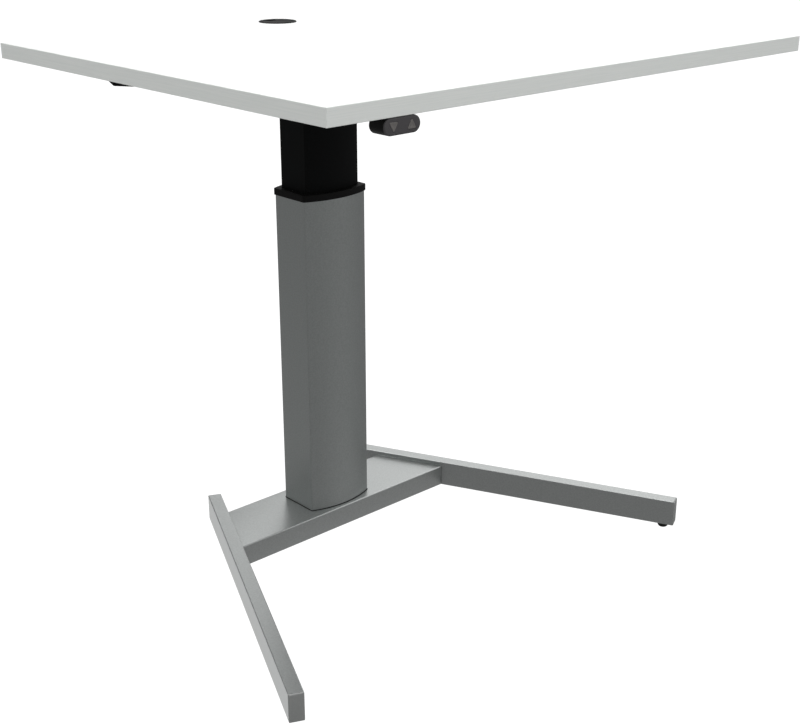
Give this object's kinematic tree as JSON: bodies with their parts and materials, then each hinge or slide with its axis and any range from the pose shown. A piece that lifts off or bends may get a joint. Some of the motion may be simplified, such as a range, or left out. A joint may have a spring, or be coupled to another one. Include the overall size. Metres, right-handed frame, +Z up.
{
  "type": "single-column sit-stand desk",
  "caption": "Rectangular desk top on one telescopic lifting column that stands on a cross beam between two splayed legs, with a cable grommet and an up and down handset.",
  "frame": {"origin": "on the floor, under the middle of the desk top", "axes": "+Z up; +X along the desk top's long side, to the right of the person who sits at it; -Y towards that person, +Y towards the back edge, where the column stands"},
  "size_m": [1, 0.8, 0.9436],
  "materials": {
    "white_laminate": "satin",
    "grey_edge_band": "matt",
    "particle_board": "raw",
    "silver_powder_coat": "satin",
    "grey_powder_coat": "fine texture",
    "black_powder_coat": "satin",
    "black_abs": "matt",
    "grommet_grey": "matt",
    "face_grey": "matt",
    "key_grey": "matt",
    "black_rubber": "matt",
    "zinc_plated_steel": "bright zinc",
    "black_oxide_steel": "black oxide",
    "ground_steel": "ground",
    "white_acetal": "satin",
    "die_cast_aluminium": "as cast",
    "green_circuit_board": "satin"
  },
  "bodies": {
    "base": {"base_beam": "silver_powder_coat", "left_leg": "silver_powder_coat", "right_leg": "silver_powder_coat", "front_left_end_cap": "silver_powder_coat", "front_right_end_cap": "silver_powder_coat", "rear_left_end_cap": "silver_powder_coat", "rear_right_end_cap": "silver_powder_coat", "leg_inserts": "zinc_plated_steel", "leg_bolts": "black_oxide_steel", "base_stiffener_plate": "zinc_plated_steel", "column_gasket": "black_rubber", "outer_tube": "grey_powder_coat", "top_collar": "black_abs", "upper_glide_frame": "white_acetal", "column_foot_plate": "zinc_plated_steel", "column_bolts": "black_oxide_steel", "push_tube": "ground_steel", "drive_nut": "white_acetal"},
    "lift": {"inner_tube": "black_powder_coat", "lower_glide_frame": "white_acetal", "head_plate": "black_powder_coat", "left_arm": "black_powder_coat", "right_arm": "black_powder_coat", "front_arm": "black_powder_coat", "arm_bolts": "black_oxide_steel", "desk_spacers": "black_rubber", "desk_screws": "black_oxide_steel", "desk_board": "particle_board", "underside_laminate": "white_laminate", "top_laminate": "white_laminate", "front_edge_band": "grey_edge_band", "rear_edge_band": "grey_edge_band", "left_edge_band": "grey_edge_band", "right_edge_band": "grey_edge_band", "grommet_liner": "grommet_grey", "motor": "black_powder_coat", "gearbox": "die_cast_aluminium", "bearing_plate": "zinc_plated_steel", "thrust_bearing": "ground_steel", "motor_screws": "black_oxide_steel", "control_box_tray": "black_abs", "control_box_cover": "black_abs", "control_box_screws": "black_oxide_steel", "control_circuit": "green_circuit_board", "mains_inlet": "black_abs", "lead_glands": "black_rubber", "handset_shell": "black_abs", "handset_face": "face_grey", "handset_circuit": "green_circuit_board", "handset_screws": "black_oxide_steel"},
    "spindle": {"spindle": "ground_steel", "spindle_coupling": "ground_steel"},
    "grommet_cap": {"grommet_cap": "grommet_grey"},
    "down_button": {"down_button": "key_grey"},
    "up_button": {"up_button": "key_grey"},
    "front_left_foot": {"front_left_foot": "black_rubber"},
    "front_right_foot": {"front_right_foot": "black_rubber"},
    "rear_left_foot": {"rear_left_foot": "black_rubber"},
    "rear_right_foot": {"rear_right_foot": "black_rubber"}
  },
  "joints": [
    {"name": "lift_slide", "type": "slide", "parent": "base", "child": "lift", "axis": [0, 0, 1], "range_m": [-0.23, 0.24]},
    {"name": "spindle_spin", "type": "hinge", "parent": "lift", "child": "spindle", "pos_m": [0, 0.231, 0.771], "axis": [0, 0, 1], "continuous": true},
    {"name": "grommet_cap_turn", "type": "hinge", "parent": "lift", "child": "grommet_cap", "pos_m": [0, 0.34, 0.942], "axis": [0, 0, 1], "continuous": true},
    {"name": "down_button_press", "type": "slide", "parent": "lift", "child": "down_button", "axis": [0, 1, 0], "range_m": [0, 0.0008], "stiffness_N_per_m": 2500},
    {"name": "up_button_press", "type": "slide", "parent": "lift", "child": "up_button", "axis": [0, 1, 0], "range_m": [0, 0.0008], "stiffness_N_per_m": 2500},
    {"name": "front_left_foot_level", "type": "slide", "parent": "base", "child": "front_left_foot", "axis": [0, 0, -1], "range_m": [0, 0.01]},
    {"name": "front_right_foot_level", "type": "slide", "parent": "base", "child": "front_right_foot", "axis": [0, 0, -1], "range_m": [0, 0.01]},
    {"name": "rear_left_foot_level", "type": "slide", "parent": "base", "child": "rear_left_foot", "axis": [0, 0, -1], "range_m": [0, 0.01]},
    {"name": "rear_right_foot_level", "type": "slide", "parent": "base", "child": "rear_right_foot", "axis": [0, 0, -1], "range_m": [0, 0.01]}
  ],
  "couplings": [
    {"joint": "spindle_spin", "follows": "lift_slide", "rad_per_m": 1047.2}
  ]
}
